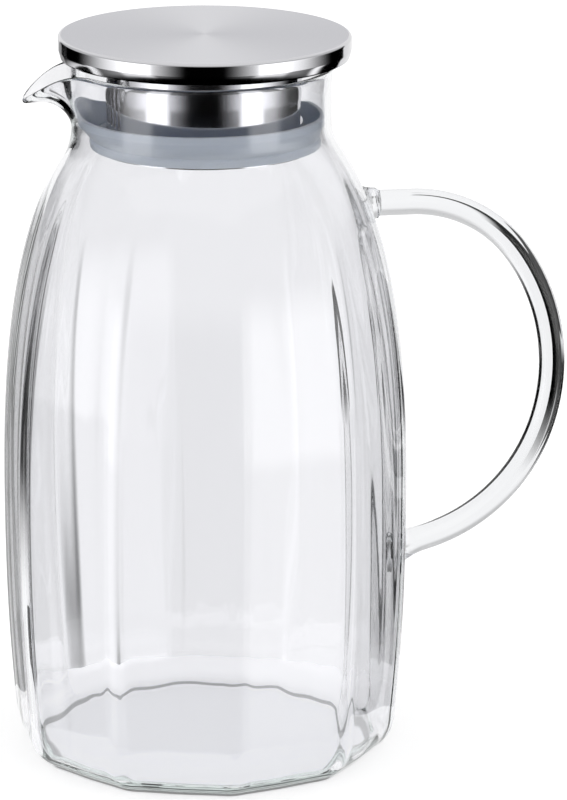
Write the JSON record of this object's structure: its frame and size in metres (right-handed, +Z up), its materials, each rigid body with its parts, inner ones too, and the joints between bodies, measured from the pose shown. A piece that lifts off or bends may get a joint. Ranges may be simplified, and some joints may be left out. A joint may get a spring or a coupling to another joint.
{
  "type": "glass jug with strainer lid",
  "caption": "Panelled clear glass jug with a drooping beak spout, a glass rod handle and a turning stainless strainer lid held in the neck by a silicone lip seal.",
  "frame": {"origin": "centre of the flat underside, on the table", "axes": "+Z up along the jug's axis, +X towards the handle, -X towards the spout"},
  "size_m": [0.1913, 0.1382, 0.248],
  "materials": {
    "glass": "clear, fire-polished",
    "brushed_steel": "circular brushed top, polished rim",
    "polished_steel": "mirror polished",
    "silicone": "translucent satin"
  },
  "bodies": {
    "jug": {"glass_body": "glass", "handle": "glass", "upper_weld_pad": "glass", "lower_weld_pad": "glass"},
    "seal": {"lip_seal": "silicone"},
    "lid": {"lid_cap": "brushed_steel", "lid_underplate": "polished_steel", "pour_tube": "polished_steel", "seal_retainer": "polished_steel"}
  },
  "joints": [
    {"name": "lid_lift", "type": "slide", "parent": "jug", "child": "seal", "axis": [0, 0, 1], "range_m": [0, 0.06]},
    {"name": "lid_turn", "type": "hinge", "parent": "seal", "child": "lid", "pos_m": [0, 0, 0.2148], "axis": [0, 0, 1], "continuous": true}
  ]
}
